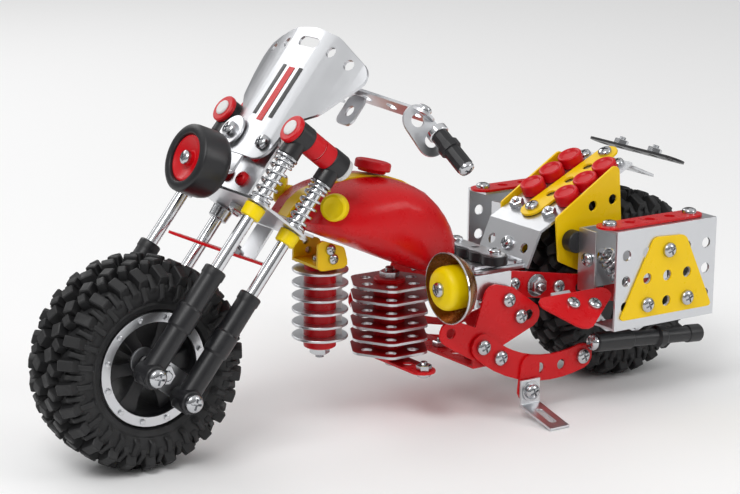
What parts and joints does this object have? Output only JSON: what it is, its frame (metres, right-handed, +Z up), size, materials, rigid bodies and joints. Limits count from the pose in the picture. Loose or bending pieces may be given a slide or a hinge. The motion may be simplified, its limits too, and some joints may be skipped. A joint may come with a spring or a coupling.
{
  "type": "toy motorcycle",
  "caption": "Construction-kit chopper motorcycle with perforated metal strips, raked sprung fork, curved windshield, teardrop tank, finned cylinders, rack, panniers and a kickstand.",
  "frame": {"origin": "centre of the box at ground level, between the two wheels", "axes": "+X forward, +Y to the rider's left, +Z up"},
  "size_m": [0.2895, 0.1238, 0.1487],
  "materials": {
    "red_paint": "gloss",
    "yellow_paint": "gloss",
    "steel": "bright plated",
    "chrome": "polished",
    "brass": "satin",
    "red_plastic": "gloss",
    "black_plastic": "satin",
    "tyre_rubber": "matt"
  },
  "bodies": {
    "chassis": {"tank_core": "yellow_paint", "filler_cap": "red_plastic", "neck_strip": "steel", "engine_bracket": "yellow_paint", "front_cylinder": "red_paint", "rear_cylinder": "red_paint", "belly_strip": "red_paint", "cross_member": "red_paint", "air_cleaner": "brass", "seat_pad": "black_plastic", "fender_plate": "steel", "rack_strip": "yellow_paint", "tail_bar": "black_plastic", "rear_axle": "steel", "tank_shell_left": "red_paint", "tank_shell_right": "red_paint", "crank_plate_left": "red_paint", "crank_plate_right": "red_paint", "arc_strip_left": "red_paint", "arc_strip_right": "red_paint", "chain_stay_left": "red_paint", "chain_stay_right": "red_paint", "footboard_left": "red_paint", "footboard_right": "red_paint", "exhaust_left": "black_plastic", "exhaust_right": "black_plastic", "knob_row_left": "red_plastic", "knob_row_right": "red_plastic", "side_plate_left": "yellow_paint", "side_plate_right": "yellow_paint", "pannier_shell_left": "steel", "pannier_shell_right": "steel", "pannier_bracket_left": "steel", "pannier_bracket_right": "steel"},
    "steering": {"yoke_plate": "steel", "head_plate": "steel", "head_riser": "steel", "windshield": "steel", "headlight": "black_plastic", "mudguard": "red_paint", "handlebar_left": "steel", "handlebar_right": "steel", "grip_left": "black_plastic", "grip_right": "black_plastic", "fork_spring_front_left": "chrome", "fork_spring_front_right": "chrome", "fork_spring_rear_left": "chrome", "fork_spring_rear_right": "chrome"},
    "fork": {"front_axle": "steel", "fork_leg_front_left": "black_plastic", "fork_leg_front_right": "black_plastic", "fork_leg_rear_left": "black_plastic", "fork_leg_rear_right": "black_plastic", "fork_crown_left": "black_plastic", "fork_crown_right": "black_plastic"},
    "front_wheel": {"front_tyre": "tyre_rubber", "front_rim": "black_plastic"},
    "rear_wheel": {"rear_tyre": "tyre_rubber", "rear_rim": "black_plastic"},
    "kickstand": {"kickstand": "steel"}
  },
  "joints": [
    {"name": "steer", "type": "hinge", "parent": "chassis", "child": "steering", "pos_m": [0.0652, 0, 0.0876], "axis": [-0.6225, 0, 0.7826], "range_deg": [-20, 20]},
    {"name": "fork_travel", "type": "slide", "parent": "steering", "child": "fork", "axis": [0.6225, 0, -0.7826], "range_m": [0, 0.006], "stiffness_N_per_m": 500, "springref_m": -0.004, "deforming": ["fork_spring_front_left", "fork_spring_front_right", "fork_spring_rear_left", "fork_spring_rear_right"]},
    {"name": "front_wheel_spin", "type": "hinge", "parent": "fork", "child": "front_wheel", "pos_m": [0.1075, 0, 0.0373], "axis": [0, 1, 0], "continuous": true},
    {"name": "rear_wheel_spin", "type": "hinge", "parent": "chassis", "child": "rear_wheel", "pos_m": [-0.1075, 0, 0.0373], "axis": [0, 1, 0], "continuous": true},
    {"name": "kickstand_fold", "type": "hinge", "parent": "chassis", "child": "kickstand", "pos_m": [-0.0417, 0.034, 0.0103], "axis": [0, 1, 0], "range_deg": [0, 90]}
  ]
}
